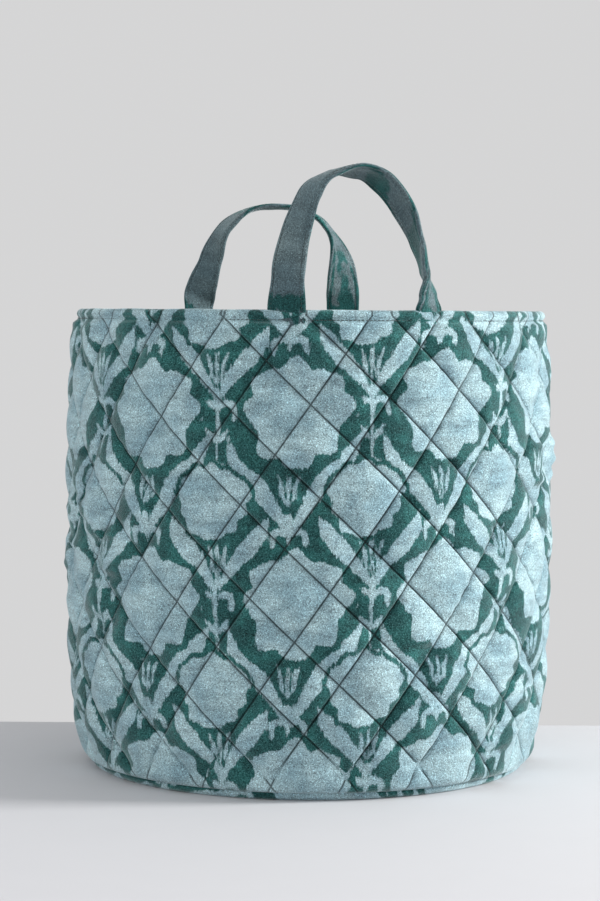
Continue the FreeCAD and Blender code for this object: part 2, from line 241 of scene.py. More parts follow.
def grid_piece(name, points, layers=None, round_columns=False, round_rows=False, flip=False):
    """A piece from a grid of points, its quads joined up round the columns or the rows if asked.

    points has one row of the grid after another. Each UV layer covers the same grid, with one column
    more where the columns go round, so that the cloth's coordinates don't jump at the join.
    """
    rows, columns = points.shape[:2]
    cell_rows, cell_columns = grid_cells(rows, columns if round_columns else columns - 1, round_rows)
    if flip:
        cell_rows, cell_columns = cell_rows[:, ::-1], cell_columns[:, ::-1]
    faces = (cell_rows % rows) * columns + cell_columns % columns
    pairs = {}
    for layer, grid in (layers or {}).items():
        height, width = grid.shape[:2]
        pairs[layer] = grid[np.minimum(cell_rows, height - 1), np.minimum(cell_columns, width - 1)]
    return make_piece(name, points, faces, corner_uv=pairs)


def finish_piece(piece, material, slot, body, *nodes):
    """Gives the piece its material, lets it ride, and says what it replaces. The slot is not used."""
    piece.data.materials.append(material)
    if body:
        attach(piece, body)
    if nodes:
        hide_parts(*nodes)
    return piece


# ---------------------------------------------------------------- the wall's shape


def wall_radius(z):
    """Outer radius at a height: the belly's, less a power of the distance from it up or down."""
    up = np.clip((z - BELLY_HEIGHT) / (RIM_HEIGHT - BELLY_HEIGHT), 0, 1)
    down = np.clip((BELLY_HEIGHT - z) / (BELLY_HEIGHT - SEAM_HEIGHT), 0, 1)
    drop_up = (BELLY_RADIUS - RIM_RADIUS) * up**UPPER_CURVE
    drop_down = (BELLY_RADIUS - SEAM_RADIUS) * down**LOWER_CURVE
    return BELLY_RADIUS - drop_up - drop_down


# The quilting is a grid of columns and rows whose diagonals are the two families of stitch lines.
# The columns lean by SHEAR, which eases to nothing at the upright seam behind.
SHEAR = 0.1813
COLUMN_STEP = 1.548
ROW_STEP = 1.717
RISING_CELLS = 36  # cells between stitch lines that rise to the right
FALLING_CELLS = 42  # cells between stitch lines that fall to the right
RISING_GAP = 45  # millimetres from one rising stitch line to the next
FALLING_GAP = 44  # millimetres from one falling stitch line to the next
CLOTH_TURN = math.radians(-101.5)  # where the cloth's coordinate is 0, as an angle about Z
SEAM_TURN = math.radians(90)
WALL_ROLL = 8.0  # radius of the roll in which the wall's lower edge turns under
CROSSING = (1.2, 287.0)  # one crossing of the stitch lines, in cloth coordinates
ALONG_LOW = (SEAM_TURN - TAU - CLOTH_TURN) * BELLY_RADIUS
ALONG_HIGH = (SEAM_TURN - CLOTH_TURN) * BELLY_RADIUS
COLUMNS = round((ALONG_HIGH - ALONG_LOW) / COLUMN_STEP)
CELL_WIDTH = (ALONG_HIGH - ALONG_LOW) / COLUMNS
WALL_ROWS = round((RIM_HEIGHT - 4 - SEAM_HEIGHT) / ROW_STEP)
CROSS_ROW = round((CROSSING[1] - SEAM_HEIGHT) / ROW_STEP)
CROSS_COLUMN = round((CROSSING[0] + SHEAR * CROSSING[1] - ALONG_LOW) / CELL_WIDTH)


def cloth_along(column, z):
    """The cloth's coordinate along the wall for a grid column at a height."""
    straight = ALONG_LOW + column * CELL_WIDTH
    ease = fade((straight - ALONG_LOW) / 150) * fade((ALONG_HIGH - straight) / 150)
    return straight - SHEAR * ease * z


def quilt_shares(column, row):
    """How far each point is from one stitch line to the next, in both families, from 0 to 1."""
    rising = (column - row - (CROSS_COLUMN - CROSS_ROW)) / RISING_CELLS
    falling = (column + row - (CROSS_COLUMN + CROSS_ROW)) / FALLING_CELLS
    return rising, falling


def from_line(share):
    """How far a share is from the nearest stitch line, from 0 to a half."""
    return np.abs(share - np.round(share))


def quilt_rise(column, row):
    """Height of the quilting over its stitch lines, as a share of a puff.

    A puff is a sum of two powers of an arch over the cell: a low one, which leaves each stitch line
    steeply, and a high one, which rounds the middle. Each puff has a height of its own, and puckers run
    in from the stitches and fade towards its middle.
    """
    rising, falling = quilt_shares(column, row)
    cell_a, cell_b = np.floor(rising), np.floor(falling)
    a, b = rising - cell_a, falling - cell_b
    arch_a, arch_b = 4 * a * (1 - a), 4 * b * (1 - b)
    puff = 0.62 * (arch_a * arch_b) ** 0.28 + 0.46 * (arch_a * arch_b) ** 0.95
    size = 0.86 + 0.28 * hashed(cell_a, cell_b, 3)
    near_a, near_b = np.minimum(a, 1 - a) * RISING_GAP, np.minimum(b, 1 - b) * FALLING_GAP
    pucker_a = soft_noise(falling * FALLING_GAP / 5.2, rising * 3 + 7, 11) * np.exp(-near_a / 7) * arch_b
    pucker_b = soft_noise(rising * RISING_GAP / 5.2, falling * 3 + 5, 12) * np.exp(-near_b / 7) * arch_a
    fine = soft_noise(falling * FALLING_GAP / 2.6, rising * 5, 13) * np.exp(-near_a / 4)
    fine = fine + soft_noise(rising * RISING_GAP / 2.6, falling * 5, 14) * np.exp(-near_b / 4)
    edge = fade(np.minimum(near_a, near_b) / 1.6)
    return puff * size + edge * (0.17 * (pucker_a + pucker_b) + 0.05 * fine)


def cloth_folds(along, z):
    """Soft slack in the wall, in millimetres: broad dents, and faint level folds in some puffs."""
    broad = 1.1 * soft_noise(along / 95, z / 120, 21) + 0.5 * soft_noise(along / 38, z / 46, 22)
    slack = fade(soft_noise(along / 60, z / 60, 23) * 1.6 + 0.1)
    level = soft_noise(along / 30 + z / 90, z / 6.5, 24)
    return broad, 2.1 * slack * level


def wall_offset(column, row, z, along, sizes):
    """Distance of the cloth out from the CAD wall's surface, in millimetres.

    Over the topstitching the quilting is pressed nearly flat, and the topstitching lies in a groove. The
    lower edge rolls under, the upright seam draws the cloth in, and no stitch reaches the lining.
    """
    puff, depth = sizes.quilt_rise / MM, sizes.stitch_depth / MM
    broad, level = cloth_folds(along, z)
    rising, falling = quilt_shares(column, row)
    inside = fade(np.minimum(from_line(rising), from_line(falling)) * RISING_GAP / 5)
    lift = -depth + puff * quilt_rise(column, row) + level * inside
    strip = fade((z - TOPSTITCH_HEIGHT) / 1.0)
    lift = lift * (1 - strip) + (0.3 * (lift + depth) - 2.0) * strip
    groove = np.exp(-(((z - TOPSTITCH_HEIGHT) / 2.0) ** 2))
    lift = lift * (1 - groove) - 3.1 * groove
    base = fade((z - SEAM_HEIGHT) / 14)
    under = np.clip(1 - (z - SEAM_HEIGHT) / WALL_ROLL, 0, 1)
    lift = lift * base - WALL_ROLL * (1 - np.sqrt(1 - under * under)) - 3.0 * fade(1 - (z - SEAM_HEIGHT) / 40)
    seam = np.exp(-((np.minimum(along - ALONG_LOW, ALONG_HIGH - along) / 3.5) ** 2))
    deepest = -5.6 - WALL_ROLL * (under > 0) - 3.0 * (z < SEAM_HEIGHT + 40)
    return np.maximum((lift + broad * 0.8) * (1 - seam) - 3.0 * seam, deepest)


def lowered(z):
    """The wall's lowest rows come down over the base's edge, by up to 4 mm."""
    return z - 4.0 * fade(1 - (z - SEAM_HEIGHT) / 16)


def on_wall(along, radius, z):
    """Points at a distance along the cloth, a radius and a height."""
    return about_axis(radius, CLOTH_TURN + along / BELLY_RADIUS, z)


# ---------------------------------------------------------------- the print

PRINT_WIDTH = 114.0
PRINT_HEIGHT = 137.0
PRINT_CENTRE = (-14.7, 229.0)  # a fork of the first column of figures, in cloth coordinates
SECOND_COLUMN = (60.5, 87.0)  # from there to a fork of the second column
TILE_STEP = 0.5


def smooth_path(values, share):
    """A curve through the values, evenly spaced in share, whose slopes come from their neighbours."""
    values = np.array(values, dtype=float)
    place = share * (len(values) - 1)
    index = np.clip(place.astype(int), 0, len(values) - 2)
    part = place - index
    slopes = np.gradient(values)
    lean = slopes[index] * part * (1 - part) ** 2 - slopes[index + 1] * part**2 * (1 - part)
    return values[index] + (values[index + 1] - values[index]) * fade(part) + lean


def stroke(points, radii, count):
    """Round beads along a smooth curve through the points, with their radii, as one brush stroke."""
    share = np.linspace(0, 1, count)
    xs, zs = np.array(points, dtype=float).T
    radius = np.interp(share, np.linspace(0, 1, len(radii)), radii)
    return np.stack([smooth_path(xs, share), smooth_path(zs, share), radius], axis=1)


def pair(beads):
    """The stroke and its mirror image."""
    return np.concatenate([beads, beads * np.array([-1, 1, 1])])


def moved(beads, dz):
    return beads + np.array([0, dz, 0])


def figure_beads():
    """Every stroke of the two columns of figures, each about the middle of its own fork."""
    horn = pair(stroke([(0, -27), (6, -24), (11.5, -26.5), (12.0, -34.5)], [2.0, 2.9, 2.9, 2.0], 22))
    fork = pair(stroke([(0.8, -12), (4.2, -7), (5.4, 1), (8.2, 9)], [1.0, 1.8, 2.2, 1.0], 18))
    prong = stroke([(0, -14), (0, 0), (0, 13)], [1.2, 2.0, 1.6], 22)
    first = [
        stroke([(0, -35), (-8, -20), (-22, -1), (-37, 13), (-46, 39)], [1.2, 4.6, 7.6, 6.6, 0.8], 40),
        stroke([(0, -35), (10, -20), (24, 1), (42, 19), (56, 40)], [1.2, 4.6, 7.4, 6.8, 0.8], 40),
        stroke([(0, -22), (0, -46)], [3.6, 1.2], 20), moved(horn, -8), fork, prong,
    ]
    small_horn = pair(stroke([(0, -55), (4.5, -51), (8, -46)], [1.8, 2.7, 1.5], 14))
    second = [
        pair(stroke([(0, -26), (9, -11), (22, 4), (32, 16), (38.5, 28)], [1.2, 4.4, 7.0, 6.2, 0.8], 34)),
        stroke([(0, -18), (0, -72)], [2.6, 1.2], 34), moved(horn, -3), small_horn, fork, prong,
        pair(stroke([(0, -70), (7, -70.5)], [1.4, 0.8], 6)),
    ]
    return np.concatenate(first), np.concatenate(second)


def rosette(dx, dz, half_width, half_height, lobes, depth, turned, point):
    """Distance inside a lobed oval: rounded lobes with narrow notches, and a pointed lower end."""
    turn = np.arctan2(dz / half_height, dx / half_width)
    size = np.hypot(dx / half_width, dz / half_height)
    edge = 1 - depth * (1 - np.abs(np.cos(lobes / 2 * (turn - turned))) ** 1.1)
    edge = edge + 0.045 * np.sin(3 * turn + 0.6) + 0.035 * np.sin(5 * turn) + 0.03 * np.sin(13 * turn)
    edge = edge + point * np.exp(-(((turn + math.pi / 2) / 0.25) ** 2))
    return (edge - size) * min(half_width, half_height)


def wrapped(distance, period):
    return distance - period * np.round(distance / period)


def print_tile():
    """Distance inside the print's figures over one repeat of it, in millimetres, as a fine grid.

    The strokes stop short of the rosettes, so that a band of the ground runs round each of them.
    """
    z, x = np.meshgrid(
        np.arange(0, PRINT_HEIGHT, TILE_STEP), np.arange(0, PRINT_WIDTH, TILE_STEP), indexing="ij")
    first, second = figure_beads()
    second_x, second_z = SECOND_COLUMN
    strokes = np.full(x.shape, -20.0)
    for beads, column_x, column_z in ((first, 0.0, 0.0), (second, second_x, second_z)):
        for bead_x, bead_z, radius in beads:
            dx = wrapped(x - column_x - bead_x, PRINT_WIDTH)
            dz = wrapped(z - column_z - bead_z, PRINT_HEIGHT)
            strokes = np.maximum(strokes, radius - np.hypot(dx, dz))
    large = wrapped(x - 6.0, PRINT_WIDTH), wrapped(z - 53.0, PRINT_HEIGHT)
    small = wrapped(x - second_x + 4.0, PRINT_WIDTH), wrapped(z - second_z - 40.0, PRINT_HEIGHT)
    large = rosette(*large, 40.0, 39.5, 8, 0.15, 0.02, 0.06)
    small = rosette(*small, 28.5, 27.5, 10, 0.06, 0.3, 0.05)
    strokes = np.minimum(strokes, np.minimum(-large - 4.5, -small - 2.6))
    return np.maximum(strokes, np.maximum(large, small))


TILE = print_tile()


def print_inside(along, up):
    """Distance inside the print's figures at cloth coordinates, read between the tile's points.

    The cloth is printed a little off its grain: each row sags, and rises to the right.
    """
    off = along - PRINT_CENTRE[0]
    up = up - PRINT_CENTRE[1] - 0.035 * off - 0.00015 * np.clip(off, -200, 200) ** 2
    column, row = (off / TILE_STEP) % TILE.shape[1], (up / TILE_STEP) % TILE.shape[0]
    left, low = np.floor(column).astype(int), np.floor(row).astype(int)
    part_x, part_z = column - left, row - low
    right, high = (left + 1) % TILE.shape[1], (low + 1) % TILE.shape[0]
    left, low = left % TILE.shape[1], low % TILE.shape[0]
    lower = TILE[low, left] * (1 - part_x) + TILE[low, right] * part_x
    upper = TILE[high, left] * (1 - part_x) + TILE[high, right] * part_x
    return lower * (1 - part_z) + upper * part_z


def cloth_layers(along, up, crease):
    """The UV layers of a velvet piece: its cloth coordinates, and its print and nearness to a stitch."""
    cloth = np.stack([along, up], axis=-1) / 100
    figure = np.stack([print_inside(along, up) / 10, np.broadcast_to(crease, along.shape) / 10], axis=-1)
    return {"cloth": cloth, "figure": figure}


# ---------------------------------------------------------------- materials


class Maths:
    """A shader value that adds a Math node for each operator used on it."""

    def __init__(self, shader, socket):
        self.shader, self.socket = shader, socket

    def _with(self, operation, first, second):
        return self.shader.node("ShaderNodeMath", {"operation": operation}, {0: first, 1: second})

    def __add__(self, other):
        return self._with("ADD", self, other)

    def __sub__(self, other):
        return self._with("SUBTRACT", self, other)

    def __rsub__(self, other):
        return self._with("SUBTRACT", other, self)

    def __mul__(self, other):
        return self._with("MULTIPLY", self, other)

    def __truediv__(self, other):
        return self._with("DIVIDE", self, other)

    def __pow__(self, other):
        return self._with("POWER", self, other)

    __radd__, __rmul__ = __add__, __mul__

    def step(self, low, high, to_low=0.0, to_high=1.0):
        """A smooth step from one value to another as this value goes from low to high."""
        settings = {"interpolation_type": "SMOOTHSTEP"}
        sockets = {"Value": self, "From Min": low, "From Max": high, "To Min": to_low, "To Max": to_high}
        return self.shader.node("ShaderNodeMapRange", settings, sockets)


class Shader:
    """A material with one Principled shader, and a method that adds any other node."""

    def __init__(self, name):
        self.material = bpy.data.materials.new(name)
        self.material.use_nodes = True
        self.tree = self.material.node_tree
        self.main = self.tree.nodes["Principled BSDF"]

    def put(self, socket, value):
        if isinstance(value, Maths):
            self.tree.links.new(value.socket, socket)
        else:
            socket.default_value = value

    def node(self, kind, settings=None, sockets=None, output=0):
        """A new node of this kind, its settings made first, then the values or links of its sockets."""
        node = self.tree.nodes.new(kind)
        for name, value in (settings or {}).items():
            setattr(node, name, value)
        for name, value in (sockets or {}).items():
            self.put(node.inputs[name], value)
        return Maths(self, node.outputs[output])

    def set(self, **sockets):
        for name, value in sockets.items():
            self.put(self.main.inputs[name.replace("_", " ")], value)

    def object_place(self):
        return self.node("ShaderNodeTexCoord", output="Object")

    def layer(self, name):
        return self.node("ShaderNodeUVMap", {"uv_map": name})

    def split(self, vector):
        parts = self.node("ShaderNodeSeparateXYZ", None, {0: vector})
        return [Maths(self, parts.socket.node.outputs[axis]) for axis in range(3)]

    def sine(self, value):
        return self.node("ShaderNodeMath", {"operation": "SINE"}, {0: value})

    def noise(self, vector, scale, detail=2.0, roughness=0.5):
        """Noise about 0, roughly from -0.5 to 0.5, at one scale or at one for each axis."""
        if isinstance(scale, tuple):
            vector, scale = self.node("ShaderNodeMapping", None, {"Vector": vector, "Scale": scale}), 1.0
        sockets = {"Vector": vector, "Scale": scale, "Detail": detail, "Roughness": roughness}
        return self.node("ShaderNodeTexNoise", None, sockets) - 0.5

    def mix(self, share, first, second, blend="MIX"):
        mixed = self.tree.nodes.new("ShaderNodeMix")
        mixed.data_type, mixed.blend_type = "RGBA", blend
        for socket, value in zip((mixed.inputs[0], mixed.inputs[6], mixed.inputs[7]), (share, first, second)):
            self.put(socket, value)
        return Maths(self, mixed.outputs[2])

    def grey(self, value):
        return self.node("ShaderNodeCombineColor", None, {"Red": value, "Green": value, "Blue": value})

    def lit(self, base, light):
        """A colour multiplied by a grey value."""
        return self.mix(1.0, base, self.grey(light), "MULTIPLY")

    def bump(self, height, distance, strength=1.0):
        sockets = {"Height": height, "Distance": distance, "Strength": strength}
        return self.node("ShaderNodeBump", None, sockets)


def colour(rgb):
    return (*rgb, 1.0)


def printed_velvet(colours, name="printed velvet", shade_scale=1.0):
    """Short-pile velvet: pale figures with combed, feathered edges on a deep ground.

    The edge of a figure is where the distance inside it, pushed about by upright streaks, passes 0. The
    pile is a fine speckle of random colour and painted sparkle, with painted glints and whitish painted
    highlights on the ends of its fibres. Under them lie slow patches of random colour, partly painted
    sheen where the nap lies another way, and level bands of painted light and shade for folds and combed
    pile. The colour is darkened as painted shade near the stitch lines. shade_scale darkens the figures
    as painted shade, as on the straps, whose nap runs across.
    """
    shader = Shader(name)
    cloth, place = shader.layer("cloth"), shader.object_place()
    inside, crease = shader.split(shader.layer("figure"))[:2]
    streaks = shader.noise(cloth, (58, 13, 1), 2.5)
    jags = shader.noise(cloth, (60, 60, 1), 2.0)
    wander = shader.noise(cloth, (14, 14, 1), 1.0)
    edge = inside * 10 + streaks * 5.0 + jags * 1.2 + wander * 1.6 - 0.5
    figure = edge.step(-0.8, 0.7)
    # Slow patches pick between two colours of figure and of ground: random colour, partly painted sheen where
    # the nap lies another way.
    patches = shader.noise(cloth, (2.6, 3.6, 1), 3.0)
    nap = shader.noise(cloth, (9, 6, 1), 3.0)
    shade = colour([part * shade_scale for part in colours.figure_shade])
    pale = colour([part * shade_scale for part in colours.figure])
    figure_colour = shader.mix((patches * 2.0 + nap * 0.9 + 0.5).step(0.1, 0.9), shade, pale)
    deep, light = colour(colours.ground), colour(colours.ground_light)
    ground_colour = shader.mix((patches * 1.2 + nap * 1.6 + 0.4).step(0.1, 0.9), deep, light)
    both = shader.mix(figure, ground_colour, figure_colour)
    # The pile's speckle changes the colour at random and, with the glints, brightens it as painted sparkle;
    # the pile also makes the bump, and the glints lower the roughness.
    pile = shader.noise(place, 1000.0, 3.0, 0.8)
    glints = shader.noise(place, 1250.0, 1.0).step(0.08, 0.22)
    # Painted light and shade in level bands, for folds in the puffs and combed pile.
    painted_fold_bands = shader.noise(cloth, (3.6, 19, 1), 3.0)
    speckled = shader.lit(both, pile * 3.3 + painted_fold_bands * 0.9 + 0.93 + glints * 0.9)
    # Painted highlights on the ends of the fibres, added whitish over the colour.
    painted_tip_highlights = shader.grey(pile * 0.22 + 0.010 + glints * 0.07)
    painted_tip_highlights = shader.mix(1.0, painted_tip_highlights, (0.5 * shade_scale, shade_scale, shade_scale, 1.0), "MULTIPLY")
    speckled = shader.mix(1.0, speckled, painted_tip_highlights, "ADD")
    # Painted shade in the creases: the colour darkens to a quarter at a stitch line.
    crease_shade = (crease * 10).step(0.1, 1.1, 0.25, 1.0)
    shader.set(
        Base_Color=shader.lit(speckled, crease_shade),
        Roughness=0.95 - glints * 0.3,
        Specular_IOR_Level=0.2,
        Sheen_Weight=0.7,
        Sheen_Roughness=0.35,
        Sheen_Tint=(0.82, 0.97, 1.0, 1.0),
        Normal=shader.bump(pile + nap * 1.2, 0.0010, 0.6),
    )
    return shader.material


def woven_cotton(name, base, threads, contrast=0.25):
    """Plain weave: two sets of fine threads that pass over and under each other."""
    shader = Shader(name)
    place = shader.object_place()
    x, y, z = shader.split(place)
    turn = shader.node("ShaderNodeMath", {"operation": "ARCTAN2"}, {0: y, 1: x}) * 0.175
    weft = shader.sine((z + (x * x + y * y) ** 0.5) * threads)
    warp = shader.sine(turn * threads)
    weave = warp * weft
    slubs = shader.noise(place, (60, 60, 400), 3.0)
    wear = shader.noise(place, 14.0, 3.0)
    light = weave * 0.10 + slubs * contrast + wear * 0.35 + 1.0
    shader.set(
        Base_Color=shader.lit(colour(base), light),
        Roughness=0.9,
        Specular_IOR_Level=0.2,
        Sheen_Weight=0.12,
        Normal=shader.bump(weave + slubs, 0.0003, 0.5),
    )
    return shader.material


def sewing_thread(colours):
    """Twisted thread: fine diagonal ridges and a slight shine."""
    shader = Shader("sewing thread")
    place = shader.object_place()
    x, y, z = shader.split(place)
    ply = shader.sine((x + y + z) * 9000)
    fuzz = shader.noise(place, 1400.0, 2.0)
    shader.set(
        Base_Color=shader.lit(colour(colours.thread), ply * 0.2 + fuzz * 0.6 + 1.0),
        Roughness=0.6,
        Sheen_Weight=0.2,
        Normal=shader.bump(ply, 0.0001, 0.5),
    )
    return shader.material


def greyboard():
    """Dense greyboard with a mottled, fibrous surface."""
    shader = Shader("greyboard")
    place = shader.object_place()
    fibres = shader.noise(place, (300, 90, 300), 4.0)
    mottle = shader.noise(place, 40.0, 3.0)
    shader.set(
        Base_Color=shader.lit((0.38, 0.33, 0.26, 1), fibres * 0.5 + mottle * 0.3 + 1),
        Roughness=0.85,
        Normal=shader.bump(fibres, 0.0002, 0.4),
    )
    return shader.material


def material(name):
    """The finished material of this name, made the first time that it is asked for."""
    if name in bpy.data.materials:
        return bpy.data.materials[name]
    colours = bpy.context.scene.basket_colours
    makers = {
        "printed velvet": lambda: printed_velvet(colours),
        # The straps' velvet is the same print with its figures darkened to a third, as painted shade.
        "strap velvet": lambda: printed_velvet(colours, name, 0.33),
        "lining cotton": lambda: woven_cotton(name, colours.lining, 5200),
        "seam tape": lambda: woven_cotton(name, colours.tape, 3600, 0.4),
        "sewing thread": lambda: sewing_thread(colours),
        "greyboard": greyboard,
    }
    return makers[name]()


# ---------------------------------------------------------------- stitches


def stitches(name, starts, ends, outward, width, height):
    """A row of machine stitches, each a thin pillow from its start to its end on the cloth.

    Its middle line rises by half a sine, and its section, four points round, swells by the same curve.
    """
    share = np.linspace(0, 1, 4)[None, :, None, None]
    turn = np.arange(4)[None, None, :, None] * (TAU / 4)
    starts, ends, outward = (np.asarray(v)[:, None, None, :] for v in (starts, ends, outward))
    across = unit(np.cross(ends - starts, outward))
    swell = 0.35 + 0.65 * np.sin(math.pi * share)
    middle = starts + (ends - starts) * share + outward * (height * 0.3 * np.sin(math.pi * share))
    ring = across * (np.cos(turn) * width / 2) + outward * (np.sin(turn) * height / 2)
    points = middle + ring * swell
    count = len(points)
    station, corner = np.meshgrid(np.arange(3), np.arange(4), indexing="ij")
    station, corner = station.ravel(), corner.ravel()
    after = (corner + 1) % 4
    near, far = station * 4, station * 4 + 4
    sides = np.stack([near + corner, near + after, far + after, far + corner], axis=1)
    caps = np.array([[3, 2, 1, 0], [12, 13, 14, 15]])
    faces = np.concatenate([sides, caps])[None] + (np.arange(count) * 16)[:, None, None]
    return make_piece(name, points, faces.reshape(-1, 4))


def stitch_spans(length, pitch, share=0.8):
    """Where each stitch starts and ends along a seam of this length."""
    count = max(int(length / pitch), 1)
    starts = (np.arange(count) + 0.5 - share / 2) * length / count
    return starts, starts + share * length / count


def round_stitches(name, radius, z, facing, pitch, width=0.6, height=0.5):
    """Stitches round the basket at a height, on its outside or, with facing -1, its inside."""
    starts, ends = stitch_spans(TAU, pitch / radius)
    outward = about_axis(1.0, (starts + ends) / 2, 0.0) * facing
    return stitches(name, about_axis(radius, starts, z), about_axis(radius, ends, z), outward, width, height)


# ---------------------------------------------------------------- wall pieces


def wall_grid(sizes):
    """The quilted wall's points, cloth coordinates and nearness to a stitch, row by row.

    The rows climb the outside, turn over the rim by a quarter circle, and come down the back of the
    wadding in a few long steps, so that the padding is a closed ring.
    """
    rim = sizes.rim_round / MM
    column = np.arange(COLUMNS + 1)[None, :] + np.zeros((WALL_ROWS + 1, 1))
    row = np.arange(WALL_ROWS + 1)[:, None] + np.zeros((1, COLUMNS + 1))
    z_top = RIM_HEIGHT - rim
    z = SEAM_HEIGHT + row * (z_top - SEAM_HEIGHT) / WALL_ROWS
    along = cloth_along(column, z)
    lift = wall_offset(column, row, z, along, sizes)
    outside = on_wall(along, wall_radius(z) + lift, lowered(z))
    rising, falling = quilt_shares(column, row)
    # Nearness to a stitch line, which the velvet darkens as painted shade.
    crease = np.minimum(from_line(rising) * RISING_GAP, from_line(falling) * FALLING_GAP)
    turn = np.linspace(0, math.pi / 2, 6)[1:, None]
    reach = rim + lift[-1][None, :] * np.cos(turn) * 0.7 + 0.25 * lift[-1][None, :] * np.sin(turn)
    over_radius = RIM_RADIUS - rim + reach * np.cos(turn)
    over = on_wall(along[-1][None, :] + 0 * turn, over_radius, z_top + reach * np.sin(turn))
    back_z = np.linspace(RIM_HEIGHT - 2, SEAM_HEIGHT, 12)[:, None] + np.zeros((1, COLUMNS + 1))
    back = on_wall(along[0][None, :] + 0 * back_z, wall_radius(back_z) - LINING_INSET + 1.9, back_z)
    up = np.concatenate([z, z_top + rim * turn + 0 * along[-1:], back_z])
    alongs = np.concatenate([along, along[-1:] + 0 * turn, along[:1] + 0 * back_z])
    creases = np.concatenate([crease, crease[-1:] + 0 * turn, crease[:1] + FAR_FROM_STITCH + 0 * back_z])
    return np.concatenate([outside, over, back]), alongs, up, creases


def wall_faces(rows):
    """Triangles that keep the stitch lines as edges: each cell is cut along the nearer line's way."""
    cell_rows, cell_columns = grid_cells(rows, COLUMNS, wrap_rows=True)
    row, column = cell_rows[:, 0], cell_columns[:, 0]
    rising, falling = quilt_shares(column + 0.5, row + 0.5)
    far_rising = from_line(rising) * RISING_CELLS
    far_falling = from_line(falling) * FALLING_CELLS
    cut = np.where((far_rising <= far_falling)[:, None], [0, 1, 2, 0, 2, 3], [1, 2, 3, 1, 3, 0])
    take = np.arange(len(cut))[:, None]
    return cell_rows[take, cut].reshape(-1, 3), cell_columns[take, cut].reshape(-1, 3)


def quilting_lines():
    """Grid columns and rows of both ends of every quilting stitch, one line of stitches after another.

    A stitch line of either family crosses one row of the grid in step_length millimetres of cloth.
    """
    spans = []
    for direction, cells, step_length in ((1, RISING_CELLS, 2.117), (-1, FALLING_CELLS, 2.534)):
        offset = CROSS_COLUMN - direction * CROSS_ROW
        first = math.floor(-WALL_ROWS / cells) - 1
        last = math.ceil((COLUMNS + WALL_ROWS) / cells) + 1
        starts, ends = stitch_spans(WALL_ROWS - 8, 3.0 / step_length, 0.78)
        for number in range(first, last + 1):
            base = (offset % cells) + number * cells
            lower, upper = starts + 4, ends + 4
            keep = (base + direction * lower > 2) & (base + direction * lower < COLUMNS - 2)
            span = [base + direction * lower, lower, base + direction * upper, upper]
            spans.append(np.stack(span, axis=1)[keep])
    return np.concatenate(spans).T


def on_quilting(column, row, sizes):
    """Points on the finished wall's surface at grid columns and rows."""
    z = SEAM_HEIGHT + row * (RIM_HEIGHT - sizes.rim_round / MM - SEAM_HEIGHT) / WALL_ROWS
    along = cloth_along(column, z)
    return on_wall(along, wall_radius(z) + wall_offset(column, row, z, along, sizes), lowered(z))


class BASKET_OT_wall(bpy.types.Operator):
    """Makes the quilted velvet wall and the thread that quilts it"""

    bl_idname = "basket.wall"
    bl_label = "Quilted wall"

    def execute(self, context):
        sizes = context.scene.basket_sizes
        points, along, up, crease = wall_grid(sizes)
        layers = cloth_layers(along, up, crease)
        rows, columns = wall_faces(len(points))
        height = len(points)
        faces = (rows % height) * COLUMNS + columns % COLUMNS
        pairs = {name: grid[np.minimum(rows, height - 1), columns] for name, grid in layers.items()}
        wall = make_piece("quilted_wall", points[:, :-1], faces, corner_uv=pairs)
        nodes = ("wall_face", "wall_wadding")
        finish_piece(wall, material("printed velvet"), "printed_velvet", "basket", *nodes)
        start_column, start_row, end_column, end_row = quilting_lines()
        starts = on_quilting(start_column, start_row, sizes)
        ends = on_quilting(end_column, end_row, sizes)
        outward = unit((starts + ends) * [1, 1, 0])
        thread = stitches("quilting_thread", starts, ends, outward, 0.4, 0.35)
        finish_piece(thread, material("sewing thread"), "thread", "basket")
        return {"FINISHED"}


def facing_grid(sizes):
    """The facing: a quarter circle from the rim's middle, then down the inside to its hem."""
    rim = sizes.rim_round / MM
    turn_about = np.linspace(0, TAU, 361)[None, :]
    turn = np.linspace(math.pi / 2, 0, 6)[:, None]
    inner = RIM_RADIUS - WALL_THICKNESS
    reach = rim * 0.95
    over_r = inner + reach - reach * np.cos(turn)
    over_z = RIM_HEIGHT - rim + reach * np.sin(turn)
    down_z = np.linspace(RIM_HEIGHT - rim, FACING_BOTTOM, 16)[1:, None]
    down_r = wall_radius(down_z) - WALL_THICKNESS
    groove = np.exp(-(((down_z - TOPSTITCH_HEIGHT) / 1.8) ** 2)) * 1.3
    hem = np.exp(-(((down_z - FACING_BOTTOM - 4) / 1.6) ** 2)) * 0.5
    radius = np.concatenate([over_r, down_r + groove + hem])
    z = np.concatenate([over_z, down_z])
    wave = 0.35 * soft_noise(turn_about * 14, z / 12, 31)
    radius = radius + wave * fade((RIM_HEIGHT - 2 - z) / 6)
    along = turn_about * BELLY_RADIUS + 0 * z
    return about_axis(radius, turn_about, z), along, z + 60 + 0 * along


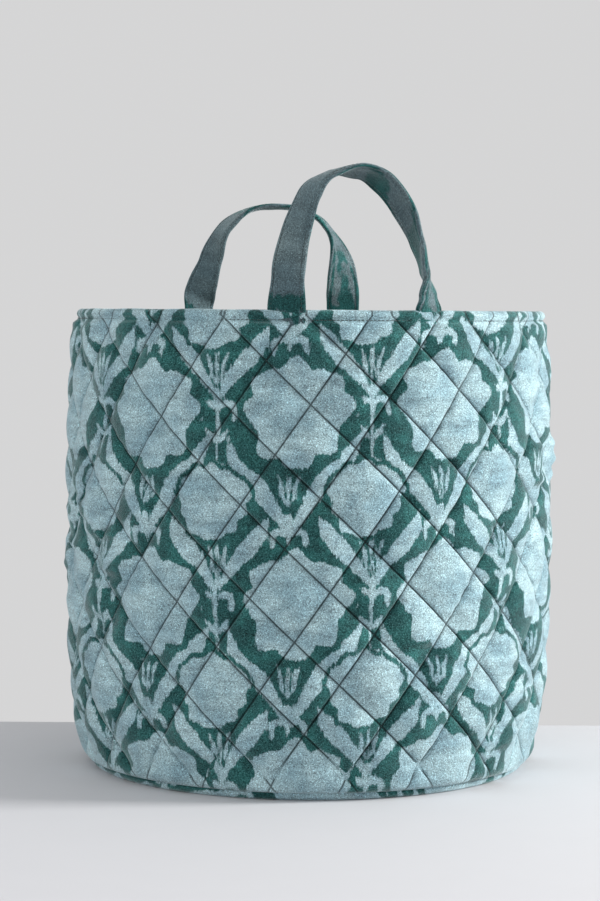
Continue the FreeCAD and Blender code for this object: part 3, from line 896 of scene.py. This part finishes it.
class BASKET_OT_rim(bpy.types.Operator):
    """Makes the facing inside the rim, the rim's topstitching and the facing's hem stitches"""

    bl_idname = "basket.rim"
    bl_label = "Rim"

    def execute(self, context):
        sizes = context.scene.basket_sizes
        points, along, up = facing_grid(sizes)
        layers = cloth_layers(along, up, FAR_FROM_STITCH)
        facing = grid_piece("rim_facing_band", points[:, :-1], layers, round_columns=True)
        thicken(facing, 0.9)
        finish_piece(facing, material("printed velvet"), "printed_velvet", "basket", "rim_facing")
        pitch = sizes.stitch_length / MM
        top_z, hem_z = TOPSTITCH_HEIGHT, FACING_BOTTOM + 4
        top_radius, inner_radius = wall_radius(top_z), wall_radius(hem_z) - WALL_THICKNESS + 0.2
        outside = round_stitches("rim_topstitching", top_radius - 2.6, top_z, 1, pitch)
        inside = round_stitches("rim_bobbin_stitching", top_radius - WALL_THICKNESS + 1.0, top_z, -1, pitch)
        hem = round_stitches("facing_hem_stitches", inner_radius, hem_z, -1, pitch)
        for piece, nodes in ((outside, ["rim_topstitch"]), (inside, []), (hem, ["facing_hem_stitching"])):
            finish_piece(piece, material("sewing thread"), "thread", "basket", *nodes)
        return {"FINISHED"}


def thicken(piece, thickness, offset=-1.0):
    """Gives a cloth surface its thickness behind it."""
    solidify = piece.modifiers.new("Cloth thickness", "SOLIDIFY")
    solidify.thickness = thickness * MM
    solidify.offset = offset


# ---------------------------------------------------------------- inside pieces


def lining_points(turn, z):
    """The lining: the wall's curve set in, drawn towards the wall along the quilting's stitch lines."""
    along = turn * BELLY_RADIUS
    column = (along - (CLOTH_TURN * BELLY_RADIUS) - ALONG_LOW + SHEAR * z) / CELL_WIDTH
    row = (z - SEAM_HEIGHT) / ROW_STEP
    rising, falling = quilt_shares(column, row)
    arch = (4 * (rising % 1) * (1 - rising % 1) * 4 * (falling % 1) * (1 - falling % 1)) ** 0.5
    slack = 0.35 * soft_noise(along / 25, z / 30, 41)
    radius = wall_radius(z) - LINING_INSET + 0.5 - 1.3 * arch + slack
    return about_axis(radius, turn, z)


class BASKET_OT_lining(bpy.types.Operator):
    """Makes the cotton lining, the base's lining, and the tapes over the seams with their stitches"""

    bl_idname = "basket.lining"
    bl_label = "Lining and tapes"

    def execute(self, context):
        sizes = context.scene.basket_sizes
        pitch = sizes.stitch_length / MM
        turn = np.linspace(SEAM_TURN - TAU, SEAM_TURN, 541)[None, :]
        z = np.linspace(SEAM_HEIGHT, FACING_BOTTOM + 3, 150)[:, None]
        lining = grid_piece("lining_cloth", lining_points(turn, z)[:, :-1], round_columns=True, flip=True)
        thicken(lining, 0.5)
        finish_piece(lining, material("lining cotton"), "lining_cotton", "basket", "wall_lining")
        self.base_lining()
        self.binding(pitch)
        self.side_tape(pitch)
        return {"FINISHED"}

    def base_lining(self):
        """The base's lining: a disc that the board keeps nearly flat, a little slack."""
        turn = np.linspace(0, TAU, 181)[None, :]
        radius = np.linspace(0, 1, 60)[:, None] ** 0.8 * BASE_LINING_RADIUS
        x, y = radius * np.cos(turn), radius * np.sin(turn)
        z = BASE_LINING_TOP + 0.25 * soft_noise(x / 30, y / 30, 43) * fade((BASE_LINING_RADIUS - radius) / 15)
        points = np.stack([x, y, z], axis=-1)
        disc = grid_piece("base_lining_cloth", points[:, :-1], round_columns=True, flip=True)
        close_pole(disc)
        thicken(disc, 0.5)
        finish_piece(disc, material("lining cotton"), "lining_cotton", "basket", "base_lining")
        board = frame["nodes"]["base_board"].data
        board.materials.clear()
        board.materials.append(material("greyboard"))

    def binding(self, pitch):
        """The tape round the base seam: a band with rounded edges, standing in the corner."""
        turn = np.linspace(0, TAU, 361)[None, :]
        low, high = BINDING_LOW[2], BINDING_HIGH[2]
        share = np.linspace(0, 1, 12)[:, None]
        z = low + (high - low) * share + 0 * turn
        outer = wall_radius(z) - LINING_INSET - 0.6
        bulge = 1.5 * np.sin(math.pi * share) ** 0.4 - 0.5 * np.exp(-(((share - 0.65) / 0.1) ** 2))
        radius = outer - bulge - 0.2 * soft_noise(turn * 20, share * 3, 44)
        points = about_axis(radius, turn, z)
        tape = grid_piece("base_seam_tape", points[:, :-1], round_columns=True, flip=True)
        thicken(tape, 0.7)
        finish_piece(tape, material("seam tape"), "seam_tape", "basket", "base_seam_binding")
        stitch_z = low + 6.5
        radius = wall_radius(stitch_z) - LINING_INSET - 1.9
        row = round_stitches("base_binding_stitches", radius, stitch_z, -1, pitch)
        finish_piece(row, material("sewing thread"), "thread", "basket", "base_binding_stitching")

    def side_tape(self, pitch):
        """The tape down the wall's upright seam, with a row of stitches near each edge."""
        low, high = TAPE_LOW[2], TAPE_HIGH[2]
        half = (TAPE_HIGH[0] - TAPE_LOW[0]) / 2
        share = np.linspace(-1, 1, 13)[None, :]
        z = np.linspace(low, high, 130)[:, None]
        proud = 1.4 * (1 - np.abs(share) ** 6) - 0.35 * np.exp(-(((np.abs(share) - 0.66) / 0.12) ** 2))
        radius = wall_radius(z) - LINING_INSET - 0.3 - proud + 0.25 * soft_noise(share * 2, z / 9, 45)
        turn = SEAM_TURN + share * half / SEAM_RADIUS
        tape = grid_piece("side_seam_cover_tape", about_axis(radius, turn, z), flip=True)
        thicken(tape, 0.8)
        finish_piece(tape, material("seam tape"), "seam_tape", "basket", "side_seam_tape")
        starts, ends = stitch_spans(high - low - 2, pitch)
        turns = SEAM_TURN + np.repeat([-0.66, 0.66], len(starts)) * half / SEAM_RADIUS
        starts, ends = (np.tile(v, 2) + low + 1 for v in (starts, ends))

        def at(height):
            return about_axis(wall_radius(height) - LINING_INSET - 1.5, turns, height)

        inward = -about_axis(1.0, turns, 0.0)
        row = stitches("side_seam_stitches", at(starts), at(ends), inward, 0.6, 0.5)
        finish_piece(row, material("sewing thread"), "thread", "basket", "side_seam_stitching")


def close_pole(piece, distance=0.01):
    """Merges the points that meet in the middle of a disc."""
    bpy.context.view_layer.objects.active = piece
    weld = piece.modifiers.new("Close the middle", "WELD")
    weld.merge_threshold = distance * MM


# ---------------------------------------------------------------- base piece


def base_points():
    """The padded base: from the seam out round a soft edge, then in over the quilted underside.

    The edge is a half circle between the seam and the floor, and the underside is drawn up along the
    stitch lines. The cloth's coordinates are the distance from the middle, measured over the cloth.
    """
    turn = np.linspace(0, TAU, 541)[None, :]
    seam_radius, half = SEAM_RADIUS - WALL_ROLL - 4.0, SEAM_HEIGHT / 2 + 0.3
    flat = seam_radius - 2.0
    angle = np.linspace(math.pi / 2, -math.pi / 2, 15)[:, None]
    wave = 0.5 * soft_noise(turn * 9, angle, 51)
    edge_r = flat + (half + wave) * np.cos(angle)
    edge_z = half * (1 + np.sin(angle))
    share = np.linspace(0, 1, 72)[1:, None]
    under_r = (1 - share) * flat + 0 * turn
    radius = np.concatenate([edge_r, under_r])
    over = np.concatenate([flat + half * (angle + math.pi / 2) + 0 * turn, under_r])
    x, y = radius * np.cos(turn), radius * np.sin(turn)
    a, b = (x * 0.83 + y * 0.56) / 45, (x * 0.56 - y * 0.83) / 45
    arch = (4 * (a % 1) * (1 - a % 1) * 4 * (b % 1) * (1 - b % 1)) ** 0.5
    under = 1.2 * (1 - arch) * fade((flat - radius) / 12)
    z = np.concatenate([edge_z + 0 * turn, 0 * under_r]) + under
    # Nearness to a stitch line on the underside, which the velvet darkens as painted shade.
    crease = np.minimum(from_line(a), from_line(b)) * RISING_GAP
    crease = np.where(radius > flat - 3, FAR_FROM_STITCH, crease)
    return np.stack([x, y, z], axis=-1), over * np.cos(turn), over * np.sin(turn), crease


class BASKET_OT_base(bpy.types.Operator):
    """Makes the padded velvet base"""

    bl_idname = "basket.base"
    bl_label = "Base"

    def execute(self, context):
        points, x, y, crease = base_points()
        layers = cloth_layers(x + 10, y + 40, crease)
        base = grid_piece("quilted_base", points[:, :-1], layers, round_columns=True, flip=True)
        close_pole(base)
        thicken(base, 2.0)
        nodes = ("base_face", "base_wadding")
        finish_piece(base, material("printed velvet"), "printed_velvet", "basket", *nodes)
        return {"FINISHED"}


# ---------------------------------------------------------------- handles


def handle_middle(name, share):
    """Points on a strap's middle line, from under the rim at one end to under it at the other.

    Above the rim each half of the arch is a superellipse with its own power. Below it the line goes
    straight down into the wall.
    """
    handle = HANDLES[name]
    left_low, left_high = box_mm(f"{name}_handle_left_end")
    right_low, right_high = box_mm(f"{name}_handle_right_end")
    half_span = (right_low[0] + right_high[0] - left_low[0] - left_high[0]) / 4
    hinge = np.array(JOINTS[f"{name}_handle_fold"]["pos_m"]) / MM
    top = box_mm(f"{name}_handle_cover")[1][2] - 2.0
    turn = math.pi * share
    power = np.where(share < 0.5, *handle["powers"])
    reach = np.abs(np.cos(turn)) ** (2 / power)
    x = -np.sign(np.cos(turn)) * reach * half_span
    z = RIM_HEIGHT + np.abs(np.sin(turn)) ** (2 / power) * (top - RIM_HEIGHT)
    x = x + along_keys(handle["sway"], share)
    return np.stack([x, hinge[1] + 0 * x, z], axis=-1)


def even_shares(name, count):
    """Shares of the arch that are evenly spaced along it, so that the strap's rows are too."""
    fine = np.linspace(0, 1, 2001)
    points = handle_middle(name, fine)
    length = np.concatenate([[0], np.cumsum(np.linalg.norm(np.diff(points, axis=0), axis=1))])
    return np.interp(np.linspace(0, length[-1], count), length, fine), length[-1]


def strap_frame(name, count):
    """The strap's middle line with its width, face and along directions, and each point's length."""
    shares, length = even_shares(name, count)
    middle = handle_middle(name, shares)
    step = length / (count - 1)
    extra = max(int(STRAP_UNDER / step), 2)
    below = np.arange(extra, 0, -1)[:, None] * step * np.array([0, 0, -1])
    middle = np.concatenate([middle[0] + below, middle, middle[-1] + below[::-1]])
    distance = (np.arange(len(middle)) - extra) * step
    share = np.clip(distance / length, 0, 1)
    along = unit(np.gradient(middle, axis=0))
    radial = unit(middle * [1, 1, 0])
    up_share = fade((middle[:, 2:3] - RIM_HEIGHT) / 40)
    outward = unit(radial * (1 - up_share) + np.array([0, HANDLES[name]["side"], 0]) * up_share)
    across = unit(np.cross(along, outward))
    outward = unit(np.cross(across, along))
    twist = np.radians(along_keys(HANDLES[name]["twist"], share))[:, None]
    width_way = across * np.cos(twist) + outward * np.sin(twist)
    face_way = unit(np.cross(width_way, along))
    width = along_keys(HANDLES[name]["width"], share)[:, None]
    return middle, width_way, face_way, width, distance


def strap_points(name, sizes, count=240, around=44):
    """The strap: a flat tube whose thickness falls off at its edges and dips at its edge stitching."""
    middle, width_way, face_way, width, distance = strap_frame(name, count)
    turn = np.linspace(0, TAU, around + 1)[None, :]
    place = np.sign(np.cos(turn)) * np.abs(np.cos(turn)) ** 0.6
    edge = np.clip(1 - np.abs(place) ** 9, 0, 1) ** 0.5
    dip = 1 - 0.42 * np.exp(-(((np.abs(place) - 0.79) / 0.045) ** 2))
    side = np.sign(np.sin(turn + 1e-9))
    creases = soft_noise(distance[:, None] / 9, place * 2 + side * 5, 61) * (1 - place**8)
    half = sizes.strap_thickness / MM / 2
    bunch = (1 / width) ** 0.8
    height = side * half * edge * dip * bunch + 0.28 * creases * side
    ripple = 0.3 * soft_noise(distance[:, None] / 12, np.sign(place) * 3, 62)
    out = place * (sizes.strap_width / MM / 2 * width + ripple * np.abs(place) ** 6)
    cup = -0.9 * place**2 * (1 + 0.5 * soft_noise(distance[:, None] / 40, 0 * place, 63))
    points = middle[:, None] + width_way[:, None] * out[..., None]
    points = points + face_way[:, None] * (height + cup)[..., None]
    girth = turn / TAU * 60
    return points, girth + 0 * height, distance[:, None] + 0 * height, dip


def close_ends(points):
    """Adds a last row at each end that meets in one point, so that the tube is closed."""
    first = points[:1].mean(axis=1, keepdims=True) + 0 * points[:1]
    last = points[-1:].mean(axis=1, keepdims=True) + 0 * points[-1:]
    return np.concatenate([first, points, last])


class BASKET_OT_handles(bpy.types.Operator):
    """Makes the two strap handles and their edge stitching"""

    bl_idname = "basket.handles"
    bl_label = "Handles"

    def execute(self, context):
        for name in HANDLES:
            self.strap(name, context.scene.basket_sizes)
            self.edge_stitching(name, context.scene.basket_sizes)
        return {"FINISHED"}

    def fold(self, piece, name):
        """Bakes the piece's transform into its mesh."""
        hinge = JOINTS[f"{name}_handle_fold"]["pos_m"]
        end = (0, hinge[1], RIM_HEIGHT * MM + 3.0 * (hinge[2] - RIM_HEIGHT * MM))
        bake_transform(piece)

    def strap(self, name, sizes):
        points, girth, distance, dip = strap_points(name, sizes)
        closed = close_ends(points)
        start_along, start_up = HANDLES[name]["cloth"]
        along = np.pad(girth, ((1, 1), (0, 0)), mode="edge") * 0.8 + start_along
        up = np.pad(distance, ((1, 1), (0, 0)), mode="edge") * 0.55 + start_up
        # Nearness to the edge stitching in the strap's dips, which the velvet darkens as painted shade.
        crease = FAR_FROM_STITCH - 8.4 * np.clip((1 - dip) / 0.42, 0, 1)
        layers = cloth_layers(along, up, crease)
        strap = grid_piece(f"{name}_handle_strap", closed[:, :-1], layers, round_columns=True)
        close_pole(strap)
        strap.data.materials.append(material("strap velvet"))
        self.fold(strap, name)
        nodes = ("left_end", "right_end", "cover", "core")
        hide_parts(*(f"{name}_handle_{part}" for part in nodes))

    def edge_stitching(self, name, sizes):
        """Stitches along both edges of both faces, in the dips of the strap's section."""
        middle, width_way, face_way, width, distance = strap_frame(name, 240)
        starts, ends = stitch_spans(distance[-1] - distance[0] - 4, sizes.stitch_length / MM)
        starts, ends = starts + distance[0] + 2, ends + distance[0] + 2
        half = sizes.strap_thickness / MM / 2 * (1 / width) ** 0.8 * 0.58
        cup = -0.9 * 0.79**2

        def between(values, places):
            return np.stack([np.interp(places, distance, values[:, axis]) for axis in range(3)], axis=-1)

        rows = []
        for face in (-1, 1):
            for edge in (-1, 1):
                out = edge * 0.79 * sizes.strap_width / MM / 2 * width
                line = middle + width_way * out + face_way * (face * (half + 0.15) + cup)
                outward = unit(between(face_way, (starts + ends) / 2)) * face
                rows.append((between(line, starts), between(line, ends), outward))
        begin, finish, outward = (np.concatenate(part) for part in zip(*rows))
        piece = stitches(f"{name}_handle_edge_stitches", begin, finish, outward, 0.55, 0.5)
        piece.data.materials.append(material("sewing thread"))
        self.fold(piece, name)
        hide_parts(f"{name}_handle_stitching")


# ---------------------------------------------------------------- stage


def floor_material():
    """Matt, nearly white laminate."""
    shader = Shader("pale laminate")
    grain = shader.noise(shader.object_place(), 30.0, 2.0)
    shader.set(
        Base_Color=shader.lit((0.61, 0.61, 0.632, 1.0), grain * 0.02 + 1.0),
        Roughness=0.8,
        Specular_IOR_Level=0.25,
    )
    return shader.material


def area_light(name, place, target, size, power, tint=(1, 1, 1)):
    light = bpy.data.lights.new(name, "AREA")
    light.shape, light.size, light.size_y = "RECTANGLE", size[0], size[1]
    light.energy, light.color = power, tint
    lamp = bpy.data.objects.new(name, light)
    lamp.location = place
    lamp.rotation_euler = (Vector(target) - Vector(place)).to_track_quat("-Z", "Y").to_euler()
    bpy.context.scene.collection.objects.link(lamp)


class BASKET_OT_stage(bpy.types.Operator):
    """Makes the floor, the lights and the camera"""

    bl_idname = "basket.stage"
    bl_label = "Stage"

    def execute(self, context):
        scene = context.scene
        scene.view_settings.view_transform = "Standard"
        scene.view_settings.look = "None"
        turn = scene.basket_stage.camera_turn
        self.floor(turn)
        self.lights(turn)
        self.camera(scene.basket_stage)
        return {"FINISHED"}

    def floor(self, turn):
        """The floor: a flat top whose rounded far edge is a little behind the basket."""
        depth = np.concatenate([[-1.8, 0.0], 0.155 + 0.04 * np.sin(np.linspace(0, math.pi / 2, 9)), [0.195]])
        height = np.concatenate([[0, 0], 0.04 * (np.cos(np.linspace(0, math.pi / 2, 9)) - 1), [-0.09]])
        side = np.linspace(-1.8, 1.8, 3)
        x = side[None, :] * math.cos(turn) - depth[:, None] * math.sin(turn)
        y = side[None, :] * math.sin(turn) + depth[:, None] * math.cos(turn)
        top = grid_piece("floor_top", np.stack([x, y, height[:, None] + 0 * x], axis=-1) / MM)
        top.data.materials.append(floor_material())

    def lights(self, turn):
        """A window to the right of the camera's view, a large soft light to its left, and even light."""
        away, high = 2.1, 0.95
        side = turn - math.radians(5)
        place = (away * math.cos(side), away * math.sin(side), high)
        area_light("window", place, (0, 0, 0.2), (0.5, 0.6), 68, (1.0, 0.995, 0.98))
        side = turn - math.radians(142)
        place = (2.4 * math.cos(side), 2.4 * math.sin(side), 1.1)
        area_light("soft_light", place, (0, 0, 0.2), (1.8, 1.8), 16, (0.98, 0.99, 1.0))
        world = bpy.data.worlds.new("studio")
        bpy.context.scene.world = world
        world.use_nodes = True
        world.node_tree.nodes["Background"].inputs["Color"].default_value = (0.995, 0.995, 1.0, 1.0)
        world.node_tree.nodes["Background"].inputs["Strength"].default_value = 0.67

    def camera(self, stage):
        """Level with the rim, looking a little down and to the left of the basket's axis."""
        turn, away = stage.camera_turn, stage.camera_distance
        data = bpy.data.cameras.new("camera")
        data.sensor_fit, data.sensor_height, data.lens = "VERTICAL", 36.0, stage.camera_lens
        data.clip_start, data.clip_end = 0.05, 50
        camera = bpy.data.objects.new("camera", data)
        place = Vector((away * math.sin(turn), -away * math.cos(turn), (RIM_HEIGHT - 1) * MM))
        down, left, roll = math.radians(3.306), math.radians(0.225), math.radians(0.35)
        facing = Matrix.Rotation(turn, 4, "Z") @ Matrix.Rotation(left, 4, "Z")
        facing = facing @ Matrix.Rotation(math.pi / 2 - down, 4, "X") @ Matrix.Rotation(roll, 4, "Z")
        camera.matrix_world = Matrix.Translation(place) @ facing
        bpy.context.scene.collection.objects.link(camera)
        bpy.context.scene.camera = camera


# ---------------------------------------------------------------- panel and running


class BASKET_PT_panel(bpy.types.Panel):
    """Lists the basket's settings and the operators that make its pieces"""

    bl_idname = "BASKET_PT_panel"
    bl_label = "Sewing Basket"
    bl_space_type = "VIEW_3D"
    bl_region_type = "UI"
    bl_category = "Basket"

    def draw(self, context):
        for group in (context.scene.basket_sizes, context.scene.basket_colours, context.scene.basket_stage):
            column = self.layout.column(align=True)
            for name in group.bl_rna.properties.keys():
                if name not in ("rna_type", "name"):
                    column.prop(group, name)
        for operator in OPERATORS:
            self.layout.operator(operator.bl_idname)


GROUPS = {"basket_sizes": BasketSizes, "basket_colours": BasketColours, "basket_stage": BasketStage}
OPERATORS = (
    BASKET_OT_wall,
    BASKET_OT_rim,
    BASKET_OT_lining,
    BASKET_OT_base,
    BASKET_OT_handles,
    BASKET_OT_stage,
)


def register():
    for name, group in GROUPS.items():
        bpy.utils.register_class(group)
        setattr(bpy.types.Scene, name, PointerProperty(type=group))
    for part in (*OPERATORS, BASKET_PT_panel):
        bpy.utils.register_class(part)


def unregister():
    for part in (BASKET_PT_panel, *reversed(OPERATORS)):
        bpy.utils.unregister_class(part)
    for name, group in reversed(GROUPS.items()):
        delattr(bpy.types.Scene, name)
        bpy.utils.unregister_class(group)


def main():
    """Makes every piece in order."""
    register()
    bpy.ops.basket.wall()
    bpy.ops.basket.rim()
    bpy.ops.basket.lining()
    bpy.ops.basket.base()
    bpy.ops.basket.handles()
    bpy.ops.basket.stage()


if __name__ == "__main__":
    main()
